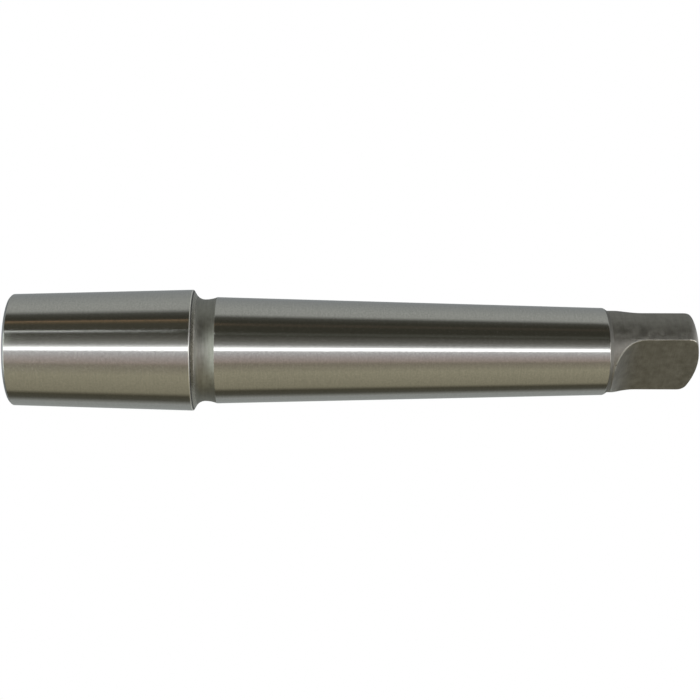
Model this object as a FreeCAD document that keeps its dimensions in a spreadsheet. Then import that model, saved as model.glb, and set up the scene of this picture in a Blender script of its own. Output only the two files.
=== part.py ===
# Taper shank chuck arbor with a tang, one piece of steel, in millimetres.
# It stands on the end face of its chuck taper: the origin is the centre of that face,
# +Z runs along the axis towards the tang, and the flats of the tang face +Y and -Y.
import FreeCAD, Part
import math
import os
import Sketcher

# Driving dimensions. Each name is also the alias of its cell in the sheet.
SIZES = {
    # Short chuck taper, size 3: an inch taper that a chuck is pressed on
    "chuck_end_dia": 18.951,
    "chuck_back_dia": 20.599,
    "chuck_taper_length": 30.956,
    "chuck_edge_break": 0.4,
    # Relief neck between the two tapers: a slope, then a shallow hollow
    "relief_length": 4.05,
    "relief_slope_length": 0.95,
    "relief_foot_step": 0.30,
    "relief_hollow_radius": 5.5,
    "relief_root_fillet": 1.8,
    # Machine taper shank, size 2 of ISO 296, with the taper given as 1 in taper_ratio
    "gauge_dia": 17.780,
    "taper_ratio": 20.020,
    "gauge_overhang": 6.6,
    "gauge_to_tang": 59.6,
    "shank_end_bevel": 0.7,
    # Tang with two milled flats, cutter run-outs and a crowned end
    "tang_length": 15.35,
    "tang_dia": 13.9,
    "tang_thickness": 6.3,
    "tang_flat_length": 9.6,
    "cutter_radius": 6.0,
    "tang_corner_radius": 1.6,
    "tang_crown_radius": 15.5,
    # Centre holes, 60 degrees, that the arbor was ground between
    "centre_cone_angle": 60.0,
    "drill_point_angle": 120.0,
    "chuck_centre_mouth_dia": 6.7,
    "chuck_centre_pilot_dia": 3.15,
    "chuck_centre_depth": 7.2,
    "tang_centre_mouth_dia": 4.25,
    "tang_centre_pilot_dia": 2.0,
    "tang_centre_depth": 4.6,
}

# Places along the axis and radii that follow from the driving dimensions
CHUCK_TOP = "Sizes.chuck_taper_length"
RELIEF_FOOT = f"{CHUCK_TOP} + Sizes.relief_slope_length"
SHANK_FOOT = f"{CHUCK_TOP} + Sizes.relief_length"
TANG_ROOT = f"{SHANK_FOOT} + Sizes.gauge_overhang + Sizes.gauge_to_tang"
TANG_TOP = f"{TANG_ROOT} + Sizes.tang_length"
SHANK_FOOT_RADIUS = "(Sizes.gauge_dia + Sizes.gauge_overhang / Sizes.taper_ratio) / 2"
SHANK_END_RADIUS = (
    "(Sizes.gauge_dia - (Sizes.gauge_to_tang - Sizes.shank_end_bevel) / Sizes.taper_ratio) / 2"
)

# Positions of a sketch element: its first end, its second end and its centre
FIRST, SECOND, CENTRE = 1, 2, 3
# A cut that takes away less than this, in cubic millimetres, has missed the steel
SMALLEST_CUT = 0.001


def make_sheet(doc):
    """Write the driving dimensions, one row each, and give each cell its alias."""
    sheet = doc.addObject("Spreadsheet::Sheet", "Sizes")
    for row, (name, value) in enumerate(SIZES.items(), start=1):
        sheet.set(f"A{row}", name.replace("_", " "))
        sheet.set(f"B{row}", str(value))
        sheet.setAlias(f"B{row}", name)
    doc.recompute()


def origin_feature(body, role):
    """The plane or axis of the body's own origin that has this role."""
    return next(item for item in body.Origin.OriginFeatures if item.Role == role)


def new_sketch(body, name, plane_role):
    """A sketch on one of the body's origin planes."""
    sketch = body.newObject("Sketcher::SketchObject", name)
    sketch.AttachmentSupport = [(origin_feature(body, plane_role), "")]
    sketch.MapMode = "FlatFace"
    body.Document.recompute()
    return sketch


def point_at(sketch, corner):
    """Where a corner, written as two expressions, lies for the sizes in the sheet."""
    across, up = (float(sketch.evalExpression(expression)) for expression in corner)
    return FreeCAD.Vector(across, up, 0)


def add_line(sketch, start, end):
    return sketch.addGeometry(Part.LineSegment(start, end), False)


def add_arc(sketch, centre, radius, start, end):
    """An arc that runs anticlockwise from start to end."""
    first = math.atan2(start.y - centre.y, start.x - centre.x)
    last = math.atan2(end.y - centre.y, end.x - centre.x)
    circle = Part.Circle(centre, FreeCAD.Vector(0, 0, 1), radius)
    return sketch.addGeometry(Part.ArcOfCircle(circle, first, last), False)


def arc_centre(start, end, radius):
    """Centre of the circle through two points, on the left on the way from start to end."""
    chord = end - start
    reach = math.sqrt(radius ** 2 - (chord.Length / 2) ** 2)
    left = FreeCAD.Vector(-chord.y, chord.x, 0).normalize()
    return (start + end) * 0.5 + left * reach


def middle_of(curve):
    return curve.value((curve.FirstParameter + curve.LastParameter) / 2)


def join(sketch, first, first_end, second, second_end):
    sketch.addConstraint(Sketcher.Constraint("Coincident", first, first_end, second, second_end))


def bind(sketch, constraint, expression):
    """Add a dimension that the sheet drives."""
    index = sketch.addConstraint(constraint)
    sketch.setExpression(f"Constraints[{index}]", expression)


def put_on_axis(sketch, element, end, axis):
    """Put one end of an element on the sketch's own horizontal or vertical axis."""
    own_axes = {"horizontal": -1, "vertical": -2}
    sketch.addConstraint(Sketcher.Constraint("PointOnObject", element, end, own_axes[axis]))


def hold(sketch, element, end, corner):
    """Hold one end of an element at a corner; a zero puts it on the sketch's axis."""
    across, up = corner
    place = point_at(sketch, corner)
    if across == "0":
        put_on_axis(sketch, element, end, "vertical")
    else:
        bind(sketch, Sketcher.Constraint("DistanceX", element, end, place.x), across)
    if up == "0":
        put_on_axis(sketch, element, end, "horizontal")
    else:
        bind(sketch, Sketcher.Constraint("DistanceY", element, end, place.y), up)


def draw_chain(sketch, corners):
    """Straight lines from corner to corner, each corner held by its expressions."""
    places = [point_at(sketch, corner) for corner in corners]
    lines = [add_line(sketch, start, end) for start, end in zip(places, places[1:])]
    hold(sketch, lines[0], FIRST, corners[0])
    for previous, following, corner in zip(lines, lines[1:], corners[1:]):
        join(sketch, previous, SECOND, following, FIRST)
        hold(sketch, following, FIRST, corner)
    hold(sketch, lines[-1], SECOND, corners[-1])
    return lines


def draw_loop(sketch, corners):
    """Straight lines round a closed outline."""
    lines = draw_chain(sketch, corners)
    closing = add_line(sketch, point_at(sketch, corners[-1]), point_at(sketch, corners[0]))
    join(sketch, lines[-1], SECOND, closing, FIRST)
    join(sketch, closing, SECOND, lines[0], FIRST)


def check(feature):
    """Stop if a feature failed or has no sound shape."""
    feature.Document.recompute()
    bad_state = {"Invalid", "Error"} & set(feature.State)
    if bad_state or feature.Shape.isNull() or not feature.Shape.isValid():
        raise RuntimeError(f"{feature.Label} has no sound shape: {feature.State}")
    return feature


def check_cut(feature, volume_before):
    """Stop if a cut took nothing away, as one that points away from the solid does."""
    check(feature)
    if volume_before - feature.Shape.Volume < SMALLEST_CUT:
        raise RuntimeError(f"{feature.Label} cut nothing")
    return feature


def draw_relief(sketch, chuck_line, shank_line):
    """The slope behind the chuck taper, a fillet, and the hollow that rises to the shank."""
    foot = (f"{SHANK_FOOT_RADIUS} - Sizes.relief_foot_step", RELIEF_FOOT)
    foot_place = point_at(sketch, foot)
    foot_of_shank = sketch.getPoint(shank_line, FIRST)
    radius, fillet_radius = point_at(
        sketch, ("Sizes.relief_hollow_radius", "Sizes.relief_root_fillet")
    )[:2]
    slope = add_line(sketch, sketch.getPoint(chuck_line, SECOND), foot_place)
    centre = arc_centre(foot_of_shank, foot_place, radius)
    hollow = add_arc(sketch, centre, radius, foot_of_shank, foot_place)
    join(sketch, chuck_line, SECOND, slope, FIRST)
    join(sketch, slope, SECOND, hollow, SECOND)
    join(sketch, hollow, FIRST, shank_line, FIRST)
    middles = [middle_of(sketch.Geometry[element]) for element in (slope, hollow)]
    sketch.fillet(slope, hollow, *middles, fillet_radius, True)
    fillet = sketch.GeometryCount - 1
    corner = sketch.addGeometry(Part.Point(foot_place), True)
    sketch.addConstraint(Sketcher.Constraint("PointOnObject", corner, FIRST, slope))
    sketch.addConstraint(Sketcher.Constraint("PointOnObject", corner, FIRST, hollow))
    hold(sketch, corner, FIRST, foot)
    bind(sketch, Sketcher.Constraint("Radius", hollow, radius), "Sizes.relief_hollow_radius")
    bind(sketch, Sketcher.Constraint("Radius", fillet, fillet_radius), "Sizes.relief_root_fillet")


def draw_round_tang(sketch, bevel_line, axis_line):
    """The side of the tang, its rounded corner, and the crown that meets the axis."""
    root = sketch.getPoint(bevel_line, SECOND)
    top = sketch.getPoint(axis_line, FIRST)
    corner, crown = point_at(sketch, ("Sizes.tang_corner_radius", "Sizes.tang_crown_radius"))[:2]
    crown_centre = FreeCAD.Vector(0, top.y - crown, 0)
    inset = root.x - corner
    rise = math.sqrt((crown - corner) ** 2 - inset ** 2)
    corner_centre = crown_centre + FreeCAD.Vector(inset, rise, 0)
    side_end = corner_centre + FreeCAD.Vector(corner, 0, 0)
    meeting = crown_centre + (corner_centre - crown_centre) * (crown / (crown - corner))
    side = add_line(sketch, root, side_end)
    corner_arc = add_arc(sketch, corner_centre, corner, side_end, meeting)
    crown_arc = add_arc(sketch, crown_centre, crown, meeting, top)
    join(sketch, bevel_line, SECOND, side, FIRST)
    sketch.addConstraint(Sketcher.Constraint("Vertical", side))
    sketch.addConstraint(Sketcher.Constraint("Tangent", side, SECOND, corner_arc, FIRST))
    sketch.addConstraint(Sketcher.Constraint("Tangent", corner_arc, SECOND, crown_arc, FIRST))
    put_on_axis(sketch, crown_arc, CENTRE, "vertical")
    join(sketch, crown_arc, SECOND, axis_line, FIRST)
    bind(sketch, Sketcher.Constraint("Radius", corner_arc, corner), "Sizes.tang_corner_radius")
    bind(sketch, Sketcher.Constraint("Radius", crown_arc, crown), "Sizes.tang_crown_radius")


def turn_blank(body):
    """The turned and ground body: chuck taper, relief neck, shank taper and round tang."""
    sketch = new_sketch(body, "BlankProfile", "XZ_Plane")
    chuck = draw_chain(sketch, [
        ("0", "0"),
        ("Sizes.chuck_end_dia / 2", "0"),
        ("Sizes.chuck_back_dia / 2", CHUCK_TOP),
    ])
    shank = draw_chain(sketch, [
        (SHANK_FOOT_RADIUS, SHANK_FOOT),
        (SHANK_END_RADIUS, f"{TANG_ROOT} - Sizes.shank_end_bevel"),
        ("Sizes.tang_dia / 2", TANG_ROOT),
    ])
    axis_line = add_line(sketch, point_at(sketch, ("0", TANG_TOP)), point_at(sketch, ("0", "0")))
    hold(sketch, axis_line, FIRST, ("0", TANG_TOP))
    join(sketch, axis_line, SECOND, chuck[0], FIRST)
    draw_relief(sketch, chuck[-1], shank[0])
    draw_round_tang(sketch, shank[-1], axis_line)
    blank = body.newObject("PartDesign::Revolution", "TurnedBlank")
    blank.Profile = sketch
    blank.ReferenceAxis = (sketch, ["V_Axis"])
    blank.Angle = 360
    return check(blank)


def break_chuck_edge(body, before):
    """A small chamfer round the free end of the chuck taper."""
    rims = [
        (edge.CenterOfMass.z, number)
        for number, edge in enumerate(before.Shape.Edges, start=1)
        if edge.isClosed()
    ]
    chamfer = body.newObject("PartDesign::Chamfer", "ChuckEdgeBreak")
    chamfer.Base = (before, [f"Edge{min(rims)[1]}"])
    chamfer.setExpression("Size", "Sizes.chuck_edge_break")
    return check_cut(chamfer, before.Shape.Volume)


def mill_tang(body, before):
    """One flat with the run-out of its cutter, cut right across, and its mirror image."""
    sketch = new_sketch(body, "FlatProfile", "YZ_Plane")
    flat = "Sizes.tang_thickness / 2"
    outside = f"{flat} + Sizes.cutter_radius"
    flat_foot = f"{TANG_TOP} - Sizes.tang_flat_length"
    runout_foot = f"{flat_foot} - Sizes.cutter_radius"
    past_end = f"{TANG_TOP} + Sizes.cutter_radius"
    chain = draw_chain(sketch, [
        (outside, runout_foot),
        (outside, past_end),
        (flat, past_end),
        (flat, flat_foot),
    ])
    start = sketch.getPoint(chain[-1], SECOND)
    end = sketch.getPoint(chain[0], FIRST)
    radius = end.x - start.x
    runout = add_arc(sketch, FreeCAD.Vector(end.x, start.y, 0), radius, start, end)
    join(sketch, chain[-1], SECOND, runout, FIRST)
    join(sketch, runout, SECOND, chain[0], FIRST)
    bind(sketch, Sketcher.Constraint("Radius", runout, radius), "Sizes.cutter_radius")
    pocket = body.newObject("PartDesign::Pocket", "TangFlat")
    pocket.Profile = sketch
    pocket.Type = "ThroughAll"
    pocket.Midplane = True
    check_cut(pocket, before.Shape.Volume)
    mirror = body.newObject("PartDesign::Mirrored", "OppositeFlat")
    mirror.Originals = [pocket]
    mirror.MirrorPlane = (origin_feature(body, "XZ_Plane"), [""])
    body.Tip = mirror
    return check_cut(mirror, pocket.Shape.Volume)


def drill_centre(body, before, end_name, mouth_height, inwards):
    """A centre hole on the axis: cone, pilot and drill point, cut in by revolving them.

    inwards is + or -, the way along Z from the mouth into the steel.
    """
    sketch = new_sketch(body, f"{end_name.title()}CentreProfile", "XZ_Plane")
    mouth = f"Sizes.{end_name}_centre_mouth_dia / 2"
    pilot = f"Sizes.{end_name}_centre_pilot_dia / 2"
    depth = f"Sizes.{end_name}_centre_depth"
    cone = f"({mouth} - {pilot}) / tan(Sizes.centre_cone_angle / 2)"
    point = f"({pilot}) / tan(Sizes.drill_point_angle / 2)"
    draw_loop(sketch, [
        ("0", mouth_height),
        (mouth, mouth_height),
        (pilot, f"{mouth_height} {inwards} {cone}"),
        (pilot, f"{mouth_height} {inwards} {depth}"),
        ("0", f"{mouth_height} {inwards} ({depth} + {point})"),
    ])
    groove = body.newObject("PartDesign::Groove", f"{end_name.title()}CentreHole")
    groove.Profile = sketch
    groove.ReferenceAxis = (sketch, ["V_Axis"])
    groove.Angle = 360
    return check_cut(groove, before.Shape.Volume)


def make_arbor(doc):
    body = doc.addObject("PartDesign::Body", "Arbor")
    body.Label = "arbor"
    chamfered = break_chuck_edge(body, turn_blank(body))
    milled = mill_tang(body, chamfered)
    drilled = drill_centre(body, milled, "chuck", "0", "+")
    body.Tip = drill_centre(body, drilled, "tang", TANG_TOP, "-")
    return body


def write_parts(doc, bodies):
    """Check every object of the document, then write each body's solid."""
    doc.recompute()
    for item in doc.Objects:
        if {"Invalid", "Error"} & set(item.State):
            raise RuntimeError(f"{item.Label} failed: {item.State}")
    for body in bodies:
        check(body)
        if len(body.Shape.Solids) != 1:
            raise RuntimeError(f"{body.Label} is not one solid")
    os.makedirs("parts", exist_ok=True)
    for body in bodies:
        body.Shape.exportStep(f"parts/{body.Label}.step")
        box = body.Shape.BoundBox
        print(body.Label, "volume", round(body.Shape.Volume, 1), "mm3, box", box)


document = FreeCAD.newDocument("chuck_arbor")
make_sheet(document)
write_parts(document, [make_arbor(document)])
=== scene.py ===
"""Looks of a taper shank chuck arbor: one steel piece that stands on its chuck end, +Z up."""

import math

import bmesh
import bpy
from mathutils import Matrix, Vector


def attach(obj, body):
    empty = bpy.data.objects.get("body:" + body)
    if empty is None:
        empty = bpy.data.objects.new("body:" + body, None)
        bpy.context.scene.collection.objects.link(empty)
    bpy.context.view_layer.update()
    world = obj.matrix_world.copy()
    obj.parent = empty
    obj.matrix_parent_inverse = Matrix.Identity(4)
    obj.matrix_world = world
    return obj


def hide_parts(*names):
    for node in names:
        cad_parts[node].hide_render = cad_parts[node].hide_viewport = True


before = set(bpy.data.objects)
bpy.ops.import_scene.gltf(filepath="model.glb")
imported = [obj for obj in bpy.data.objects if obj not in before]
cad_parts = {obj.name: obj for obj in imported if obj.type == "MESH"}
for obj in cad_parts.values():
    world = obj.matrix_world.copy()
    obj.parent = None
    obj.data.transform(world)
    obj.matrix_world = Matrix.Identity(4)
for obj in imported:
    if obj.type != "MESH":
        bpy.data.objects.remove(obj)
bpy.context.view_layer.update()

MM = 0.001

# Turned outline in mm: radii, and lengths along the axis from the chuck end upwards.
CHUCK_END_RADIUS = 9.4755
CHUCK_BACK_RADIUS = 10.2995
CHUCK_TAPER_LENGTH = 30.956
CHUCK_EDGE_BREAK = 0.4
RELIEF_LENGTH = 4.05
RELIEF_SLOPE_LENGTH = 0.95
RELIEF_FOOT_STEP = 0.30
RELIEF_HOLLOW_RADIUS = 5.5
RELIEF_FILLET_RADIUS = 1.8
GAUGE_RADIUS = 8.89
GAUGE_OVERHANG = 6.6
GAUGE_TO_TANG = 59.6
TAPER_RATIO = 20.020
SHANK_END_BEVEL = 0.7
TANG_RADIUS = 6.95
TANG_LENGTH = 15.35
TANG_CORNER_RADIUS = 1.6
TANG_CROWN_RADIUS = 15.5

# Milled flats of the tang, in mm.
FLAT_HALF_THICKNESS = 3.15
FLAT_LENGTH = 9.6
CUTTER_RADIUS = 6.0

# Centre holes: radius at the mouth, radius of the pilot, depth of the pilot, in mm.
CHUCK_CENTRE = (3.35, 1.575, 7.2)
TANG_CENTRE = (2.125, 1.0, 4.6)
CONE_HALF_ANGLE = math.radians(30)
DRILL_HALF_ANGLE = math.radians(60)

# Places that follow from those sizes, as (radius, height) or as a height, in mm.
SHANK_FOOT = (
    GAUGE_RADIUS + GAUGE_OVERHANG / (2 * TAPER_RATIO),
    CHUCK_TAPER_LENGTH + RELIEF_LENGTH,
)
RELIEF_CORNER = (SHANK_FOOT[0] - RELIEF_FOOT_STEP, CHUCK_TAPER_LENGTH + RELIEF_SLOPE_LENGTH)
SHANK_LENGTH = GAUGE_OVERHANG + GAUGE_TO_TANG - SHANK_END_BEVEL
SHANK_END = (SHANK_FOOT[0] - SHANK_LENGTH / (2 * TAPER_RATIO), SHANK_FOOT[1] + SHANK_LENGTH)
TANG_ROOT = SHANK_END[1] + SHANK_END_BEVEL
TANG_TOP = TANG_ROOT + TANG_LENGTH
FLAT_START = TANG_TOP - FLAT_LENGTH

# Mesh: columns over a quarter of the round side and of a flat, which grow wider away from
# the flat's edge, and rows along each stretch of a column. The share of a drill point that
# has no rows is closed by a fan of triangles.
ROUND_COLUMNS = 17
FLAT_COLUMNS = 42
COLUMN_GROWTH = 1.3
END_FACE_ROWS = 8
CHUCK_ROWS = 14
SLOPE_ROWS = 3
ARC_ROWS = 10
SHANK_ROWS = 28
BEVEL_ROWS = 2
FLAT_ROWS = 16
CROWN_ROWS = 18
ROUNDED_EDGE_ROWS = 2
TIP_ROWS = 3
TIP_FAN = 0.25
PILOT_ROWS = 4
CONE_ROWS = 5
# Steps of a search by halving.
HALVINGS = 30

# Rounding in mm: turned edges, the tang's root, a flat's edges and its run-out's foot.
EDGE_ROUNDING = 0.11
ROOT_ROUNDING = 0.05
FLAT_EDGE_ROUNDING = 0.09
RUN_OUT_ROUNDING = 0.22
EDGE_SEGMENTS = 3
SHARP_ANGLE = math.radians(20)
# An edge that is level within the first of these gets a turned edge's rounding, and the
# heights of two edges are told apart by the second, in mm.
LEVEL_TOLERANCE = 1e-4
TOLERANCE = 0.01
# Longest stretch of a column that a flat's rounded edge takes up, and the width of the row
# round the mouth of the tang's centre hole, in mm.
LONGEST_BAND = 0.45
MOUTH_ROW = 0.2

# Finishes, some of them painted light or shade, in the order of the mesh's material slots.
GROUND, TURNED, SLOPE, RIM, DULL, FACED, WORN_WITH_HIGHLIGHT, PAINTED_HIGHLIGHT, SHADOW, BEVEL = range(10)
# The same up the turned outline, as (height in mm at which one ends, finish).
TURNED_FINISHES = [
    (CHUCK_EDGE_BREAK + 0.02, RIM),
    (CHUCK_TAPER_LENGTH - EDGE_ROUNDING, GROUND),
    # Painted highlight: a near-white band on the chuck taper's back edge.
    (CHUCK_TAPER_LENGTH + 0.05, PAINTED_HIGHLIGHT),
    # Painted shadow: a dark band just behind that edge, down the slope.
    (CHUCK_TAPER_LENGTH + 0.24, SHADOW),
    # Painted light: the rest of the slope is coloured lighter so that it looks lit.
    (CHUCK_TAPER_LENGTH + 0.75, SLOPE),
    (SHANK_FOOT[1] - 0.03, TURNED),
    (SHANK_END[1] + 0.05, GROUND),
    # Painted shade: the shank's end bevel is coloured darker so that it looks shaded.
    (TANG_ROOT - ROOT_ROUNDING, BEVEL),
]
# Length of the painted shadow line down the slope behind the chuck taper, depth of the end face's
# finish and how far that of a centre hole reaches past its mouth, in mm.
SHADOW_WIDTH = 0.46
END_FACE_DEPTH = 0.04
MOUTH_MARGIN = 0.02
# Worn edges of the flats, coloured lighter, which is partly wear and partly a painted highlight:
# share of the rounding so coloured, on the flat and at the foot of the run-out, how far in from the
# tang's side it reaches and how far above the root it starts.
WORN_WITH_HIGHLIGHT_SHARES = (0.65, 1.0)
WORN_WITH_HIGHLIGHT_REACH = 0.45
WORN_WITH_HIGHLIGHT_START = 0.3

# Marks round the axis are this many times as long as they are wide. Detail of the noise for
# the marks and for the blotches, and the range that most of its values lie in.
LINE_STRETCH = 14.0
LINE_DETAIL = 3.0
BLOTCH_DETAIL = 5.0
NOISE_RANGE = (0.25, 0.75)

# Camera: level, beside the arbor, turned so that +Z points right in the picture. In metres
# and radians, the lens in mm.
CAMERA_AZIMUTH = math.radians(-47.0)
CAMERA_DISTANCE = 0.245
CAMERA_HEIGHT = 0.05186
CAMERA_ROLL = 0.00325
CAMERA_LENS = 73.88
CAMERA_SHIFT = (0.0479, 0.0008)

# Studio: a ring of tall cards round the arbor, with smaller ones a little in front of them.
# Angles and steps are in degrees from the camera's side, the rest in metres.
CARD_RADIUS = 0.70
CARD_FOOT = -1.4
CARD_TOP = 1.5
CARD_STEP = 3
PATCH_OFFSET = 0.02
FLOOR_HEIGHT = -1.42
FLOOR_RADIUS = 4.0


def lerp(a, b, t):
    """The value a share t of the way from a to b."""
    return a + (b - a) * t


def steps(start, end, count):
    """Count values after start, the last one at end."""
    return [lerp(start, end, (i + 1) / count) for i in range(count)]


def line_points(start, end, count):
    """Points after start on a straight line to end."""
    return list(zip(steps(start[0], end[0], count), steps(start[1], end[1], count)))


def arc_points(centre, radius, first, last, count):
    """Points after the first on an arc between two angles, in radians."""
    return [
        (centre[0] + radius * math.cos(a), centre[1] + radius * math.sin(a))
        for a in steps(first, last, count)
    ]


def angle_from(centre, point):
    """Direction of a point from a centre, from 0 to a full turn."""
    return math.atan2(point[1] - centre[1], point[0] - centre[0]) % math.tau


def circle_centre(start, end, radius, side):
    """Centre of a circle through two points; side is +1 for the left of the way to end."""
    dr, dz = end[0] - start[0], end[1] - start[1]
    chord = math.hypot(dr, dz)
    reach = math.sqrt(radius ** 2 - (chord / 2) ** 2)
    middle = (lerp(start[0], end[0], 0.5), lerp(start[1], end[1], 0.5))
    return (middle[0] - side * reach * dz / chord, middle[1] + side * reach * dr / chord)


def relief_points():
    """From the chuck's back edge: slope, fillet and hollow, to the foot of the shank."""
    back = Vector((CHUCK_BACK_RADIUS, CHUCK_TAPER_LENGTH))
    corner = Vector(RELIEF_CORNER)
    hollow = Vector(circle_centre(RELIEF_CORNER, SHANK_FOOT, RELIEF_HOLLOW_RADIUS, -1))
    slope = (corner - back).normalized()
    outward = Vector((-slope.y, slope.x))
    if outward.x < 0:
        outward.negate()
    # The fillet's centre is its radius off the slope and inside the hollow's circle.
    reach = RELIEF_HOLLOW_RADIUS - RELIEF_FILLET_RADIUS
    foot = corner + outward * RELIEF_FILLET_RADIUS
    to_foot = foot - hollow
    along = -to_foot.dot(slope)
    rest = math.sqrt(reach ** 2 - (to_foot.length_squared - along ** 2))
    centre = foot + slope * (along + rest)
    first = centre - outward * RELIEF_FILLET_RADIUS
    last = hollow + (centre - hollow).normalized() * RELIEF_HOLLOW_RADIUS
    start, end = angle_from(centre, first), angle_from(centre, last)
    fillet = arc_points(centre, RELIEF_FILLET_RADIUS, start, end, ARC_ROWS)
    start, end = angle_from(hollow, last), angle_from(hollow, SHANK_FOOT)
    foot_arc = arc_points(hollow, RELIEF_HOLLOW_RADIUS, start, end, ARC_ROWS)
    shadow_end = tuple(back + slope * SHADOW_WIDTH)
    return [shadow_end] + line_points(shadow_end, tuple(first), SLOPE_ROWS) + fillet + foot_arc


def below_tang_points():
    """The turned outline from the mouth of the chuck end's centre to the tang's root."""
    edge = (CHUCK_END_RADIUS - CHUCK_EDGE_BREAK, 0.0)
    taper_start = (CHUCK_END_RADIUS, CHUCK_EDGE_BREAK)
    chuck_back = (CHUCK_BACK_RADIUS, CHUCK_TAPER_LENGTH)
    points = line_points((CHUCK_CENTRE[0], 0.0), edge, END_FACE_ROWS) + [taper_start]
    points += line_points(taper_start, chuck_back, CHUCK_ROWS)
    points += relief_points()
    points += line_points(SHANK_FOOT, SHANK_END, SHANK_ROWS)
    points += line_points(SHANK_END, (TANG_RADIUS, TANG_ROOT), BEVEL_ROWS)
    return points


def centre_points(mouth_radius, pilot_radius, pilot_depth, end):
    """Depth of a centre hole, and its points from near the bottom to the mouth.

    end is +1 for a hole that opens upwards and -1 for one that opens downwards.
    """
    cone_depth = (mouth_radius - pilot_radius) / math.tan(CONE_HALF_ANGLE)
    bottom = pilot_depth + pilot_radius / math.tan(DRILL_HALF_ANGLE)
    points = [(pilot_radius * TIP_FAN, lerp(bottom, pilot_depth, TIP_FAN))]
    points += line_points(points[0], (pilot_radius, pilot_depth), TIP_ROWS)
    points += line_points((pilot_radius, pilot_depth), (pilot_radius, cone_depth), PILOT_ROWS)
    points += line_points((pilot_radius, cone_depth), (mouth_radius, 0.0), CONE_ROWS)
    return bottom, [(r, -end * depth) for r, depth in points]


def crown_radius_point():
    """Where the tang's corner arc meets its crown, and the corner arc's centre."""
    corner_r = TANG_RADIUS - TANG_CORNER_RADIUS
    crown_z = TANG_TOP - TANG_CROWN_RADIUS
    reach = TANG_CROWN_RADIUS - TANG_CORNER_RADIUS
    corner_z = crown_z + math.sqrt(reach ** 2 - corner_r ** 2)
    meet_r = corner_r * TANG_CROWN_RADIUS / reach
    return meet_r, (corner_r, corner_z)


MEET_RADIUS, CORNER_CENTRE = crown_radius_point()


def tang_height(radius):
    """Height of the tang's round surface at a radius, from the crown out to the side."""
    if radius <= MEET_RADIUS:
        rise = TANG_CROWN_RADIUS - math.sqrt(TANG_CROWN_RADIUS ** 2 - radius ** 2)
        return TANG_TOP - rise
    across = min(radius - CORNER_CENTRE[0], TANG_CORNER_RADIUS)
    return CORNER_CENTRE[1] + math.sqrt(TANG_CORNER_RADIUS ** 2 - across ** 2)


def way_from_axis(radius):
    """Length of the way over the tang's end, from the axis out to a radius."""
    crown_way = TANG_CROWN_RADIUS * math.asin(min(radius, MEET_RADIUS) / TANG_CROWN_RADIUS)
    if radius <= MEET_RADIUS:
        return crown_way
    first = math.acos((MEET_RADIUS - CORNER_CENTRE[0]) / TANG_CORNER_RADIUS)
    last = math.acos(min((radius - CORNER_CENTRE[0]) / TANG_CORNER_RADIUS, 1.0))
    return crown_way + TANG_CORNER_RADIUS * (first - last)


def point_over_end(way):
    """The point of the tang's end at a length of way from the axis."""
    crown_way = way_from_axis(MEET_RADIUS)
    if way <= crown_way:
        radius = TANG_CROWN_RADIUS * math.sin(way / TANG_CROWN_RADIUS)
        return radius, tang_height(radius)
    first = math.acos((MEET_RADIUS - CORNER_CENTRE[0]) / TANG_CORNER_RADIUS)
    angle = max(first - (way - crown_way) / TANG_CORNER_RADIUS, 0.0)
    return (
        CORNER_CENTRE[0] + TANG_CORNER_RADIUS * math.cos(angle),
        CORNER_CENTRE[1] + TANG_CORNER_RADIUS * math.sin(angle),
    )


def half_thickness(z):
    """Half thickness between the milled surfaces at a height: run-out below, flat above."""
    below = min(max(FLAT_START - z, 0.0), CUTTER_RADIUS)
    return FLAT_HALF_THICKNESS + CUTTER_RADIUS - math.sqrt(CUTTER_RADIUS ** 2 - below ** 2)


def run_out_height(half):
    """Height at which the run-out has a given half thickness."""
    left = FLAT_HALF_THICKNESS + CUTTER_RADIUS - half
    return FLAT_START - math.sqrt(CUTTER_RADIUS ** 2 - left ** 2)


def way_down(z):
    """Share of the way down the run-out at a height: 0 on the flat, 1 at the tang's root."""
    return min(max((FLAT_START - z) / (FLAT_START - TANG_ROOT), 0.0), 1.0)


def flat_edge_rounding(z):
    """Rounding of a flat's edge at a height: wider down the run-out, none at the root."""
    growth = lerp(FLAT_EDGE_ROUNDING, RUN_OUT_ROUNDING, way_down(z))
    return max(min(growth, 0.5 * (z - TANG_ROOT)), 0.01)


def turned_depth(radius, z):
    """How far a place lies inside the tang's turned shape: side, corner and crown."""
    corner_r, corner_z = CORNER_CENTRE
    crown_z = TANG_TOP - TANG_CROWN_RADIUS
    if z > corner_z and radius * (corner_z - crown_z) > corner_r * (z - crown_z):
        return TANG_CORNER_RADIUS - math.hypot(radius - corner_r, z - corner_z)
    return min(TANG_RADIUS - radius, TANG_CROWN_RADIUS - math.hypot(radius, z - crown_z))


def milled_depth(across, z):
    """How far a place lies inside the flat or its run-out."""
    if z >= FLAT_START:
        return FLAT_HALF_THICKNESS - across
    from_cutter = FLAT_HALF_THICKNESS + CUTTER_RADIUS - across
    return math.hypot(from_cutter, FLAT_START - z) - CUTTER_RADIUS


def drawn_in(point, sine):
    """A point of a column moved towards the axis, onto the shape with rounded edges."""
    radius, z = point
    heart = min(z, TANG_TOP - TANG_RADIUS)
    rounding = flat_edge_rounding(z)
    inside, outside = 0.9, 1.0
    for _ in range(HALVINGS):
        share = (inside + outside) / 2
        r, height = radius * share, lerp(heart, z, share)
        turned = max(rounding - turned_depth(r, height), 0.0)
        milled = max(rounding - milled_depth(r * sine, height), 0.0)
        if math.hypot(turned, milled) < rounding:
            inside = share
        else:
            outside = share
    return radius * inside, lerp(heart, z, inside)


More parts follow.
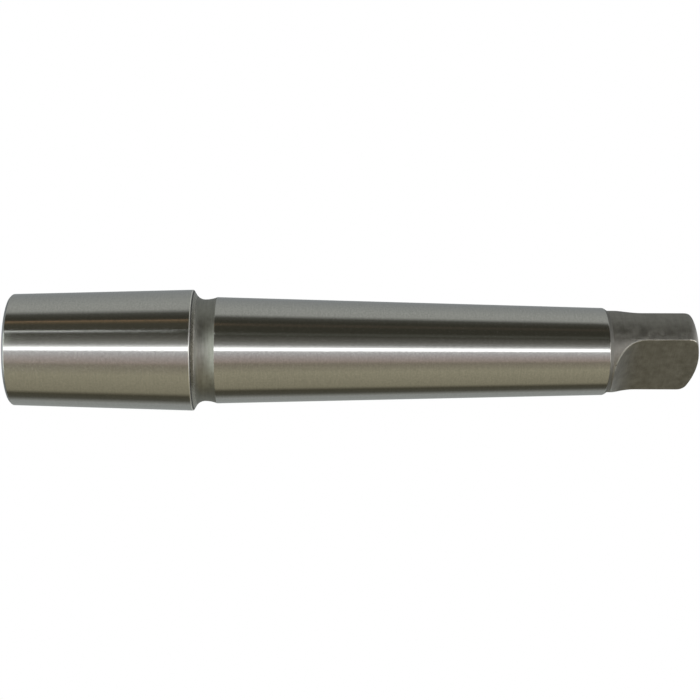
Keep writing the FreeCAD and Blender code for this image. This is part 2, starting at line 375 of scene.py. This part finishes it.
def column_angles():
    """Angles of the columns round the axis, close together at the edges of the flats."""
    edge = math.asin(FLAT_HALF_THICKNESS / TANG_RADIUS)
    side_end = edge - FLAT_EDGE_ROUNDING / TANG_RADIUS
    flat_x = TANG_RADIUS * math.cos(edge) - FLAT_EDGE_ROUNDING
    flat_end = math.atan2(FLAT_HALF_THICKNESS, flat_x)
    quarter = steps(0.0, side_end, ROUND_COLUMNS)
    quarter += steps(side_end, edge, ROUNDED_EDGE_ROWS)
    quarter += steps(edge, flat_end, ROUNDED_EDGE_ROWS)
    shares = [(i + 1) / FLAT_COLUMNS for i in range(FLAT_COLUMNS)]
    quarter += [lerp(flat_end, math.pi / 2, share ** COLUMN_GROWTH) for share in shares]
    angles = []
    for turn in range(2):
        angles += [turn * math.pi + a for a in quarter]
        angles += [(turn + 1) * math.pi - a for a in reversed(quarter[:-1])]
        angles.append((turn + 1) * math.pi)
    return [a % math.tau for a in angles], edge


def tang_column(angle, edge_angle, mouth):
    """Points of one column over the tang, from above the root to the centre's mouth."""
    sine, cosine = abs(math.sin(angle)), abs(math.cos(angle))
    on_flat = math.asin(min(sine, 1.0)) > edge_angle + 1e-9
    low, band, rim = FLAT_START, LONGEST_BAND, TANG_RADIUS
    if on_flat:
        low = run_out_height(TANG_RADIUS * sine)
        rim = FLAT_HALF_THICKNESS / sine
        from_cutter = FLAT_HALF_THICKNESS + CUTTER_RADIUS - TANG_RADIUS * sine
        slope = cosine * from_cutter / (FLAT_START - low)
        band = min(flat_edge_rounding(low) * math.hypot(1.0, slope), LONGEST_BAND)
    top = tang_height(rim)
    heights = steps(low, low + band, ROUNDED_EDGE_ROWS)
    heights += steps(low + band, top - FLAT_EDGE_ROUNDING, FLAT_ROWS)
    heights += steps(top - FLAT_EDGE_ROUNDING, top, ROUNDED_EDGE_ROWS)
    points = [(TANG_RADIUS, z) for z in (low - band, low - band / 2, low)]
    points += [(half_thickness(z) / sine if on_flat else TANG_RADIUS, z) for z in heights]
    rim_way, mouth_way = way_from_axis(rim), way_from_axis(mouth)
    first, last = rim_way - FLAT_EDGE_ROUNDING, mouth_way + MOUTH_ROW
    ways = steps(rim_way, first, ROUNDED_EDGE_ROWS) + steps(first, last, CROWN_ROWS) + [mouth_way]
    points += [point_over_end(way) for way in ways]
    return [drawn_in(point, sine) for point in points]


def mouth_on_crown():
    """Radius at which the tang end's cone meets the crown."""
    low, high = TANG_CENTRE[1], TANG_CENTRE[0]
    for _ in range(HALVINGS):
        radius = (low + high) / 2
        cone_height = TANG_TOP - (TANG_CENTRE[0] - radius) / math.tan(CONE_HALF_ANGLE)
        if cone_height < tang_height(radius):
            low = radius
        else:
            high = radius
    return low


def ring_mesh():
    """The whole arbor as columns of points round the axis, closed at both holes' bottoms."""
    angles, edge_angle = column_angles()
    low_bottom, low_hole = centre_points(*CHUCK_CENTRE, end=-1)
    top_bottom, top_hole = centre_points(*TANG_CENTRE, end=1)
    mouth = mouth_on_crown()
    top_hole = [(r, TANG_TOP + z) for r, z in reversed(top_hole) if r < mouth - 1e-6]
    mesh = bmesh.new()
    lowest = mesh.verts.new((0, 0, low_bottom * MM))
    highest = mesh.verts.new((0, 0, (TANG_TOP - top_bottom) * MM))
    columns = []
    for angle in angles:
        column = low_hole + below_tang_points() + tang_column(angle, edge_angle, mouth) + top_hole
        turn = (math.cos(angle) * MM, math.sin(angle) * MM)
        columns.append([mesh.verts.new((r * turn[0], r * turn[1], z * MM)) for r, z in column])
    for here, there in zip(columns, columns[1:] + columns[:1]):
        mesh.faces.new((lowest, here[0], there[0]))
        mesh.faces.new((highest, there[-1], here[-1]))
        for a, b, c, d in zip(here, there, there[1:], here[1:]):
            mesh.faces.new((a, d, c, b))
    return mesh


def finish_at(place):
    """Index of the finish at a place on the surface, in mm."""
    radius, z = math.hypot(place.x, place.y), place.z
    in_hole = radius < CHUCK_CENTRE[0] + MOUTH_MARGIN and z < CHUCK_TAPER_LENGTH
    if z < END_FACE_DEPTH or in_hole:
        return FACED
    for top, finish in TURNED_FINISHES:
        if z < top:
            return finish
    at_corner = z > CORNER_CENTRE[1]
    # The flats' edges are worn and coloured lighter, which also paints their highlight.
    reach = lerp(*WORN_WITH_HIGHLIGHT_SHARES, 1.0 if at_corner else way_down(z)) * flat_edge_rounding(z)
    on_edge = max(turned_depth(radius, z), milled_depth(abs(place.y), z)) < reach
    if not on_edge or z < TANG_ROOT + WORN_WITH_HIGHLIGHT_START or TANG_RADIUS - radius > WORN_WITH_HIGHLIGHT_REACH:
        return DULL
    # Painted glint at the tang's corner.
    return PAINTED_HIGHLIGHT if at_corner else WORN_WITH_HIGHLIGHT


def rounding_weight(edge):
    """Share of the turned edges' rounding that an edge gets, 0 where it isn't a sharp ring."""
    if len(edge.link_faces) != 2 or edge.calc_face_angle() < SHARP_ANGLE:
        return 0.0
    low, high = sorted(corner.co.z / MM for corner in edge.verts)
    radius = math.hypot(edge.verts[0].co.x, edge.verts[0].co.y) / MM
    if high - low > LEVEL_TOLERANCE:
        return 0.0
    if low < TANG_ROOT - TOLERANCE or radius < TANG_CENTRE[0] + TOLERANCE:
        return 1.0
    return ROOT_ROUNDING / EDGE_ROUNDING if low < TANG_ROOT + TOLERANCE else 0.0


def rounded(piece):
    """The piece's mesh with its marked edges rounded and its flat faces shaded flat."""
    bevel = piece.modifiers.new("rounding", "BEVEL")
    bevel.limit_method = "WEIGHT"
    bevel.width = EDGE_ROUNDING * MM
    bevel.segments = EDGE_SEGMENTS
    bevel.use_clamp_overlap = False
    piece.modifiers.new("shading", "WEIGHTED_NORMAL").weight = 50
    graph = bpy.context.evaluated_depsgraph_get()
    data = bpy.data.meshes.new_from_object(piece.evaluated_get(graph))
    piece.modifiers.clear()
    return data


def build_arbor(finishes):
    """The arbor's one visible piece, with a finish on each face."""
    mesh = ring_mesh()
    bmesh.ops.recalc_face_normals(mesh, faces=mesh.faces)
    weight = mesh.edges.layers.float.new("bevel_weight_edge")
    for edge in mesh.edges:
        edge[weight] = rounding_weight(edge)
    for face in mesh.faces:
        face.smooth = True
    data = bpy.data.meshes.new("arbor_blank")
    mesh.to_mesh(data)
    mesh.free()
    piece = bpy.data.objects.new("arbor_body", data)
    bpy.context.scene.collection.objects.link(piece)
    piece.data = rounded(piece)
    piece.data.name = "arbor_body"
    for finish in finishes:
        piece.data.materials.append(finish)
    for face in piece.data.polygons:
        face.material_index = finish_at(face.center / MM)
    return piece


def add_node(material, kind, **values):
    """A shader node with its properties set."""
    node = material.node_tree.nodes.new(kind)
    for name, value in values.items():
        setattr(node, name, value)
    return node


def surface_noise(material, scale, stretch, detail):
    """Noise over the surface, drawn out round the axis by stretch; its value is near 0.5."""
    links = material.node_tree.links
    place = add_node(material, "ShaderNodeTexCoord")
    shape = add_node(material, "ShaderNodeMapping")
    shape.inputs["Scale"].default_value = (scale / stretch, scale / stretch, scale)
    noise = add_node(material, "ShaderNodeTexNoise")
    noise.inputs["Scale"].default_value = 1.0
    noise.inputs["Detail"].default_value = detail
    links.new(place.outputs["Object"], shape.inputs["Vector"])
    links.new(shape.outputs["Vector"], noise.inputs["Vector"])
    return noise.outputs["Fac"]


def spread(material, value, share):
    """The noise turned into a factor round 1, up or down by the share."""
    node = add_node(material, "ShaderNodeMapRange")
    node.inputs["From Min"].default_value = NOISE_RANGE[0]
    node.inputs["From Max"].default_value = NOISE_RANGE[1]
    node.inputs["To Min"].default_value = 1 - share
    node.inputs["To Max"].default_value = 1 + share
    material.node_tree.links.new(value, node.inputs["Value"])
    return node.outputs["Result"]


def product(material, first, second):
    """One value times another; either may be a plain number."""
    node = add_node(material, "ShaderNodeMath", operation="MULTIPLY")
    for socket, value in zip(node.inputs, (first, second)):
        if isinstance(value, float):
            socket.default_value = value
        else:
            material.node_tree.links.new(value, socket)
    return node.outputs[0]


def metal(name, colour, roughness, lines, blotches, depth, anisotropic=0.0):
    """A metal finish with fine marks round the axis and blotches.

    lines and blotches are (marks per mm, share by which the colour and roughness vary);
    depth is the depth of the marks in mm.
    """
    material = bpy.data.materials.new(name)
    material.use_nodes = True
    nodes, links = material.node_tree.nodes, material.node_tree.links
    shader = nodes["Principled BSDF"]
    shader.inputs["Metallic"].default_value = 1.0
    shader.inputs["Anisotropic"].default_value = anisotropic
    fine = surface_noise(material, lines[0] / MM, LINE_STRETCH, LINE_DETAIL)
    broad = surface_noise(material, blotches[0] / MM, 1.0, BLOTCH_DETAIL)
    broad_share = spread(material, broad, blotches[1])
    tint = add_node(material, "ShaderNodeVectorMath", operation="SCALE")
    tint.inputs[0].default_value = colour
    share = product(material, spread(material, fine, lines[1]), broad_share)
    links.new(share, tint.inputs["Scale"])
    links.new(tint.outputs[0], shader.inputs["Base Color"])
    links.new(product(material, broad_share, roughness), shader.inputs["Roughness"])
    bump = add_node(material, "ShaderNodeBump")
    bump.inputs["Distance"].default_value = depth * MM
    links.new(product(material, fine, broad), bump.inputs["Height"])
    links.new(bump.outputs[0], shader.inputs["Normal"])
    if anisotropic:
        shader.inputs["Anisotropic Rotation"].default_value = 0.25
        tangent = add_node(material, "ShaderNodeTangent", direction_type="RADIAL", axis="Z")
        links.new(tangent.outputs[0], shader.inputs["Tangent"])
    return material


def finishes():
    """The finishes in the order of the mesh's slots."""
    return [
        metal("ground_taper", (0.56, 0.56, 0.55), 0.16, (7.0, 0.05), (3.0, 0.08), 0.0005, 0.75),
        metal("turned_neck", (0.33, 0.33, 0.307), 0.47, (4.0, 0.12), (1.5, 0.12), 0.004),
        # Painted light: a lighter colour than the neck's, for the lit slope.
        metal("turned_slope_painted_light", (0.40, 0.385, 0.34), 0.27, (4.0, 0.08), (1.5, 0.08), 0.003),
        metal("turned_rim", (0.36, 0.375, 0.385), 0.42, (6.0, 0.04), (1.0, 0.08), 0.001),
        metal("dull_tang", (0.325, 0.317, 0.299), 0.52, (5.0, 0.07), (1.1, 0.19), 0.005),
        metal("faced_end", (0.45, 0.45, 0.43), 0.35, (6.0, 0.06), (0.8, 0.05), 0.002),
        # Worn edge, partly wear and partly painted highlight: lighter than the tang.
        metal("worn_edge_with_painted_highlight", (0.50, 0.50, 0.48), 0.38, (3.0, 0.10), (1.2, 0.40), 0.002),
        # Painted highlight: a near-white colour for the chuck's back edge and the tang's corner
        # glint.
        metal("painted_highlight", (0.92, 0.91, 0.87), 0.35, (3.0, 0.05), (0.5, 0.10), 0.001),
        # Painted shadow: a dark colour for the line down the slope behind the chuck taper.
        metal("painted_shadow_line", (0.13, 0.125, 0.12), 0.45, (3.0, 0.05), (1.0, 0.10), 0.001),
        # Painted shade: a darker colour than the tang's, for the shank's end bevel.
        metal("shank_bevel_painted_shade", (0.255, 0.25, 0.235), 0.48, (5.0, 0.08), (1.0, 0.12), 0.003),
    ]


# Cards as (name, first angle, last angle, first colour, last colour); light level 1 is white.
CARDS = [
    ("far_grey", -180, -146, (0.28, 0.302, 0.31), (0.305, 0.32, 0.32)),
    ("left_grey", -146, -100, (0.305, 0.32, 0.32), (0.43, 0.44, 0.41)),
    ("left_pale", -100, -84, (0.43, 0.44, 0.41), (0.425, 0.43, 0.40)),
    ("left_border", -84, -75, (0.425, 0.43, 0.40), (0.085, 0.084, 0.07)),
    ("left_dark", -75, -66, (0.085, 0.084, 0.07), (0.055, 0.052, 0.04)),
    ("left_black", -66, -33, (0.052, 0.05, 0.037), (0.048, 0.046, 0.034)),
    ("left_shade", -33, -19, (0.05, 0.048, 0.036), (0.165, 0.16, 0.14)),
    ("left_light", -19, -11, (0.165, 0.16, 0.14), (0.36, 0.36, 0.34)),
    ("left_glow", -11, -5, (0.33, 0.33, 0.31), (1.25, 1.25, 1.23)),
    ("front_pale", 1, 12, (0.66, 0.66, 0.66), (0.54, 0.505, 0.49)),
    ("front_mauve", 12, 27, (0.54, 0.49, 0.475), (0.39, 0.318, 0.27)),
    ("right_seam", 27, 33, (0.32, 0.275, 0.22), (0.29, 0.257, 0.195)),
    ("right_warm", 33, 50, (0.30, 0.268, 0.205), (0.40, 0.37, 0.265)),
    ("right_tan", 50, 90, (0.40, 0.37, 0.265), (0.315, 0.29, 0.205)),
    ("right_border", 90, 99, (0.315, 0.29, 0.205), (0.085, 0.078, 0.053)),
    ("right_black", 99, 113, (0.085, 0.078, 0.053), (0.10, 0.097, 0.075)),
    ("low_border", 113, 127, (0.10, 0.097, 0.075), (0.36, 0.365, 0.34)),
    ("right_grey", 127, 180, (0.367, 0.38, 0.36), (0.335, 0.355, 0.345)),
]
# Smaller cards in front of those, as (name, first angle, last angle, foot, top, colour).
PATCHES = [
    ("warm_edge", -59.4, -57.8, -1.4, -0.02, (0.42, 0.28, 0.17)),
    ("warm_shade", -57.8, -53.6, -1.4, -0.02, (0.14, 0.108, 0.065)),
    ("dark_shade", -53.6, -41, -1.4, -0.02, (0.072, 0.068, 0.05)),
    ("pale_shade", -36.9, -32.5, -0.37, -0.02, (0.125, 0.125, 0.11)),
    ("pale_edge", -38.3, -36.9, -0.37, -0.11, (1.65, 1.68, 1.62)),
    ("warm_edge_high", -60, -54, -0.02, 1.4, (0.072, 0.063, 0.047)),
    ("pale_edge_high", -38.6, -33, -0.02, 1.4, (0.088, 0.088, 0.07)),
    ("low_window", -40, 50, -1.2, -0.37, (1.75, 1.88, 1.72)),
    ("high_window", -30, 35, 0.75, 2.3, (1.12, 1.10, 1.03)),
    ("back_window_left", -180, -160, 0.8, 1.5, (1.8, 1.77, 1.7)),
    ("back_window_right", 160, 180, 0.8, 1.5, (1.8, 1.77, 1.7)),
]
# The lamp that draws the bright line: its first and last angle, height and light level.
STRIP_LIGHT = (-5.0, 1.2)
STRIP_HEIGHT = 2.4
STRIP_RADIANCE = 1.8


def studio_point(angle, radius, z):
    """A place round the arbor, at an angle from the camera's side towards the picture's foot."""
    world = CAMERA_AZIMUTH - math.pi / 2 + math.radians(angle)
    return Vector((radius * math.cos(world), radius * math.sin(world), z))


def glow_material():
    """Cards shine with the colour that is painted on their corners."""
    material = bpy.data.materials.new("card_glow")
    material.use_nodes = True
    nodes, links = material.node_tree.nodes, material.node_tree.links
    nodes.remove(nodes["Principled BSDF"])
    paint = add_node(material, "ShaderNodeVertexColor", layer_name="paint")
    emission = add_node(material, "ShaderNodeEmission")
    links.new(paint.outputs["Color"], emission.inputs["Color"])
    links.new(emission.outputs[0], nodes["Material Output"].inputs["Surface"])
    return material


def add_card(material, name, span, colours, radius, foot, top):
    """A tall curved card that blends from one colour to another, unseen by the camera."""
    mesh = bmesh.new()
    paint = mesh.verts.layers.float_color.new("paint")
    count = max(1, int((span[1] - span[0]) / CARD_STEP))
    pairs = []
    for i in range(count + 1):
        share = i / count
        angle = lerp(span[0], span[1], share)
        colour = [lerp(a, b, share) for a, b in zip(*colours)]
        pair = [mesh.verts.new(studio_point(angle, radius, z)) for z in (foot, top)]
        for corner in pair:
            corner[paint] = (*colour, 1.0)
        pairs.append(pair)
    for (low, high), (next_low, next_high) in zip(pairs, pairs[1:]):
        mesh.faces.new((low, next_low, next_high, high))
    data = bpy.data.meshes.new(name)
    mesh.to_mesh(data)
    mesh.free()
    data.materials.append(material)
    card = bpy.data.objects.new(name, data)
    bpy.context.scene.collection.objects.link(card)
    card.visible_camera = False


def floor_material():
    """Pale, and plain white to the camera, to mirrored rays and to rays through glass."""
    material = bpy.data.materials.new("pale_floor")
    material.use_nodes = True
    nodes, links = material.node_tree.nodes, material.node_tree.links
    shader = nodes["Principled BSDF"]
    shader.inputs["Base Color"].default_value = (0.85, 0.85, 0.85, 1.0)
    shader.inputs["Roughness"].default_value = 0.9
    white = add_node(material, "ShaderNodeEmission")
    path = add_node(material, "ShaderNodeLightPath")
    mirrored = add_node(material, "ShaderNodeMath", operation="MAXIMUM")
    seen = add_node(material, "ShaderNodeMath", operation="MAXIMUM")
    mix = add_node(material, "ShaderNodeMixShader")
    links.new(path.outputs["Is Glossy Ray"], mirrored.inputs[0])
    links.new(path.outputs["Is Transmission Ray"], mirrored.inputs[1])
    links.new(path.outputs["Is Camera Ray"], seen.inputs[0])
    links.new(mirrored.outputs[0], seen.inputs[1])
    links.new(seen.outputs[0], mix.inputs[0])
    links.new(shader.outputs[0], mix.inputs[1])
    links.new(white.outputs[0], mix.inputs[2])
    links.new(mix.outputs[0], nodes["Material Output"].inputs["Surface"])
    return material


def add_floor():
    """The studio's plain floor, so far down that no shadow of the arbor shows on it."""
    mesh = bmesh.new()
    bmesh.ops.create_circle(mesh, cap_ends=True, segments=64, radius=FLOOR_RADIUS)
    data = bpy.data.meshes.new("floor")
    mesh.to_mesh(data)
    mesh.free()
    data.materials.append(floor_material())
    floor = bpy.data.objects.new("floor", data)
    floor.location.z = FLOOR_HEIGHT
    bpy.context.scene.collection.objects.link(floor)


def add_strip_light():
    """A tall narrow lamp in the gap between two cards."""
    first, last = STRIP_LIGHT
    width = CARD_RADIUS * math.radians(last - first)
    data = bpy.data.lights.new("strip_light", "AREA")
    data.shape = "RECTANGLE"
    data.size, data.size_y = width, STRIP_HEIGHT
    data.energy = STRIP_RADIANCE * math.pi * width * STRIP_HEIGHT
    lamp = bpy.data.objects.new("strip_light", data)
    place = studio_point((first + last) / 2, CARD_RADIUS, CAMERA_HEIGHT)
    lamp.location = place
    inward = Vector((-place.x, -place.y, 0))
    lamp.rotation_euler = inward.to_track_quat("-Z", "Y").to_euler()
    bpy.context.scene.collection.objects.link(lamp)
    lamp.visible_camera = False


def light_studio():
    """White world, ring of cards, strip lamp and floor."""
    world = bpy.data.worlds.new("studio")
    bpy.context.scene.world = world
    world.use_nodes = True
    background = world.node_tree.nodes["Background"]
    background.inputs["Color"].default_value = (1.0, 1.0, 1.0, 1.0)
    background.inputs["Strength"].default_value = 1.0
    glow = glow_material()
    for name, first, last, *colours in CARDS:
        add_card(glow, name, (first, last), colours, CARD_RADIUS, CARD_FOOT, CARD_TOP)
    for name, first, last, foot, top, colour in PATCHES:
        add_card(glow, name, (first, last), (colour, colour), CARD_RADIUS - PATCH_OFFSET, foot, top)
    add_strip_light()
    add_floor()


def place_camera():
    """The camera beside the arbor, in line with the photograph."""
    back = Vector((math.sin(CAMERA_AZIMUTH), -math.cos(CAMERA_AZIMUTH), 0))
    right = Vector((0, 0, 1))
    up = back.cross(right)
    cosine, sine = math.cos(CAMERA_ROLL), math.sin(CAMERA_ROLL)
    turned_right = right * cosine + up * sine
    turned_up = up * cosine - right * sine
    matrix = Matrix((turned_right, turned_up, back)).transposed().to_4x4()
    matrix.translation = back * CAMERA_DISTANCE + Vector((0, 0, CAMERA_HEIGHT))
    data = bpy.data.cameras.new("camera")
    data.lens = CAMERA_LENS
    data.sensor_width = 36.0
    data.shift_x, data.shift_y = CAMERA_SHIFT
    data.clip_start, data.clip_end = 0.01, 10.0
    camera = bpy.data.objects.new("camera", data)
    camera.matrix_world = matrix
    bpy.context.scene.collection.objects.link(camera)
    bpy.context.scene.camera = camera


arbor = build_arbor(finishes())
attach(arbor, "root")
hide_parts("arbor")
light_studio()
place_camera()
bpy.context.scene.view_settings.view_transform = "Standard"
